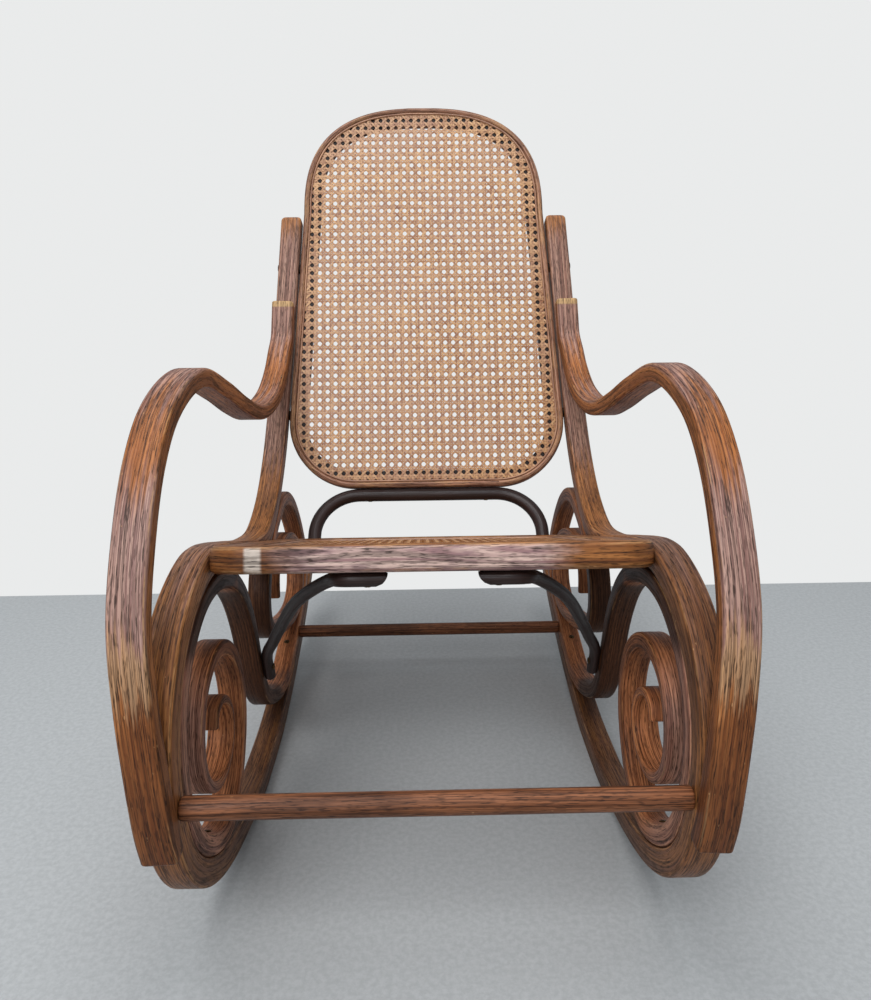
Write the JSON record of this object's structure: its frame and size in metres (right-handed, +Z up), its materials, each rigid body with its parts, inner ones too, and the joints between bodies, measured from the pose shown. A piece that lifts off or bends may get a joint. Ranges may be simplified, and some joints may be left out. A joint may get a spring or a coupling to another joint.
{
  "type": "bentwood rocking chair",
  "caption": "Bentwood rocking chair: caned seat and back on two scrolled side frames with curved runners and looping arms.",
  "frame": {"origin": "on the floor, under the middle of the chair's bounding box", "axes": "+Z up, +Y to the rear of the chair, +X to the right of someone who looks at its front"},
  "size_m": [0.5454, 0.9536, 0.9395],
  "materials": {
    "walnut": "brown stained and varnished beech with open dark pores, satin",
    "dark_wood": "near-black stained thin rods, satin",
    "cane": "natural honey-tan woven rattan cane",
    "screws": "dull aged metal"
  },
  "bodies": {
    "root": {"long_rod_left": "walnut", "scroll_rod_left": "walnut", "arm_left": "walnut", "long_rod_right": "walnut", "scroll_rod_right": "walnut", "arm_right": "walnut", "seat_frame": "walnut", "seat_cane": "cane", "seat_bead": "cane", "back_frame": "walnut", "back_cane": "cane", "back_bead": "cane", "back_hoop": "dark_wood", "front_stretcher": "walnut", "rear_stretcher": "walnut", "front_brace_left": "dark_wood", "front_brace_right": "dark_wood", "arm_head_bolt_left": "screws", "arm_foot_bolt_left": "screws", "scroll_screw_front_left": "screws", "scroll_screw_arch_left": "screws", "scroll_screw_rear_left": "screws", "scroll_screw_loop_left": "screws", "arm_head_bolt_right": "screws", "arm_foot_bolt_right": "screws", "scroll_screw_front_right": "screws", "scroll_screw_arch_right": "screws", "scroll_screw_rear_right": "screws", "scroll_screw_loop_right": "screws", "seat_bolt_front_left": "screws", "seat_bolt_rear_left": "screws", "back_bolt_low_left": "screws", "back_spacer_low_left": "screws", "back_bolt_high_left": "screws", "back_spacer_high_left": "screws", "brace_seat_screw_left": "screws", "brace_scroll_screw_left": "screws", "hoop_screw_left": "screws", "seat_bolt_front_right": "screws", "seat_bolt_rear_right": "screws", "back_bolt_low_right": "screws", "back_spacer_low_right": "screws", "back_bolt_high_right": "screws", "back_spacer_high_right": "screws", "brace_seat_screw_right": "screws", "brace_scroll_screw_right": "screws", "hoop_screw_right": "screws"}
  },
  "joints": []
}
